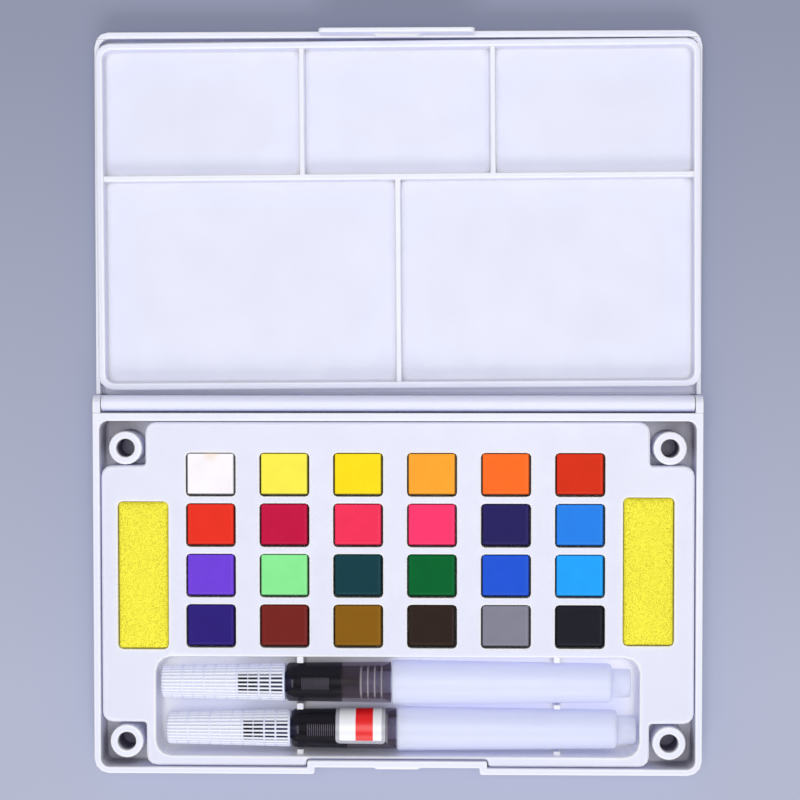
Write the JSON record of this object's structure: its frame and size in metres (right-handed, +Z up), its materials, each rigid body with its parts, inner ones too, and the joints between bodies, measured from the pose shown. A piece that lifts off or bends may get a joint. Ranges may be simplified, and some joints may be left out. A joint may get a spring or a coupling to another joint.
{
  "type": "watercolour paint box",
  "caption": "Flat hinged plastic paint box lying open, with a lift-out mixing palette in the lid and a tray of paint cakes, sponges and water brushes in the base.",
  "frame": {"origin": "on the table, below the middle of the hinge axis, which is the centre of the open case's footprint", "axes": "+X along the hinge to the right, +Y towards the far edge of the open lid, +Z up"},
  "size_m": [0.208, 0.254, 0.0178],
  "materials": {
    "white_plastic": "satin moulded",
    "white_paint": "dry pressed paint",
    "lemon_yellow_paint": "dry pressed paint",
    "golden_yellow_paint": "dry pressed paint",
    "orange_yellow_paint": "dry pressed paint",
    "orange_paint": "dry pressed paint",
    "vermilion_paint": "dry pressed paint",
    "scarlet_paint": "dry pressed paint",
    "crimson_paint": "dry pressed paint",
    "rose_paint": "dry pressed paint",
    "pink_paint": "dry pressed paint",
    "navy_paint": "dry pressed paint",
    "cerulean_blue_paint": "dry pressed paint",
    "violet_paint": "dry pressed paint",
    "light_green_paint": "dry pressed paint",
    "deep_teal_paint": "dry pressed paint",
    "green_paint": "dry pressed paint",
    "royal_blue_paint": "dry pressed paint",
    "sky_blue_paint": "dry pressed paint",
    "indigo_paint": "dry pressed paint",
    "red_brown_paint": "dry pressed paint",
    "ochre_paint": "dry pressed paint",
    "sepia_paint": "dry pressed paint",
    "grey_paint": "dry pressed paint",
    "black_paint": "dry pressed paint",
    "sponge": "fine open-cell sponge",
    "clear_plastic": "clear moulded",
    "bristle": "fine synthetic bristle",
    "nib_plastic": "moulded",
    "feed_plastic": "moulded",
    "smoked_plastic": "smoked clear moulded",
    "milky_plastic": "milky moulded"
  },
  "bodies": {
    "case": {"base_case": "white_plastic"},
    "lid": {"lid": "white_plastic"},
    "palette": {"mixing_palette": "white_plastic"},
    "tray": {"paint_tray": "white_plastic", "paint_white": "white_paint", "paint_lemon_yellow": "lemon_yellow_paint", "paint_golden_yellow": "golden_yellow_paint", "paint_orange_yellow": "orange_yellow_paint", "paint_orange": "orange_paint", "paint_vermilion": "vermilion_paint", "paint_scarlet": "scarlet_paint", "paint_crimson": "crimson_paint", "paint_rose": "rose_paint", "paint_pink": "pink_paint", "paint_navy": "navy_paint", "paint_cerulean_blue": "cerulean_blue_paint", "paint_violet": "violet_paint", "paint_light_green": "light_green_paint", "paint_deep_teal": "deep_teal_paint", "paint_green": "green_paint", "paint_royal_blue": "royal_blue_paint", "paint_sky_blue": "sky_blue_paint", "paint_indigo": "indigo_paint", "paint_red_brown": "red_brown_paint", "paint_ochre": "ochre_paint", "paint_sepia": "sepia_paint", "paint_grey": "grey_paint", "paint_black": "black_paint"},
    "left_sponge": {"sponge_left": "sponge"},
    "right_sponge": {"sponge_right": "sponge"},
    "rear_brush": {"rear_brush_cap": "clear_plastic", "rear_brush_tuft": "bristle", "rear_brush_nib": "nib_plastic", "rear_brush_feed": "feed_plastic", "rear_brush_grip": "smoked_plastic", "rear_brush_reservoir": "milky_plastic"},
    "front_brush": {"front_brush_cap": "clear_plastic", "front_brush_tuft": "bristle", "front_brush_nib": "nib_plastic", "front_brush_feed": "feed_plastic", "front_brush_grip": "smoked_plastic", "front_brush_reservoir": "milky_plastic"}
  },
  "joints": [
    {"name": "lid_hinge", "type": "hinge", "parent": "case", "child": "lid", "pos_m": [0, 0, 0.01225], "axis": [-1, 0, 0], "range_deg": [-180, 0]},
    {"name": "palette_lift", "type": "slide", "parent": "lid", "child": "palette", "axis": [0, 0, 1], "range_m": [0, 0.03]},
    {"name": "tray_lift", "type": "slide", "parent": "case", "child": "tray", "axis": [0, 0, 1], "range_m": [0, 0.03]},
    {"name": "left_sponge_lift", "type": "slide", "parent": "tray", "child": "left_sponge", "axis": [0, 0, 1], "range_m": [0, 0.02]},
    {"name": "right_sponge_lift", "type": "slide", "parent": "tray", "child": "right_sponge", "axis": [0, 0, 1], "range_m": [0, 0.02]},
    {"name": "rear_brush_lift", "type": "slide", "parent": "tray", "child": "rear_brush", "axis": [0, 0, 1], "range_m": [0, 0.03]},
    {"name": "front_brush_lift", "type": "slide", "parent": "tray", "child": "front_brush", "axis": [0, 0, 1], "range_m": [0, 0.03]}
  ]
}
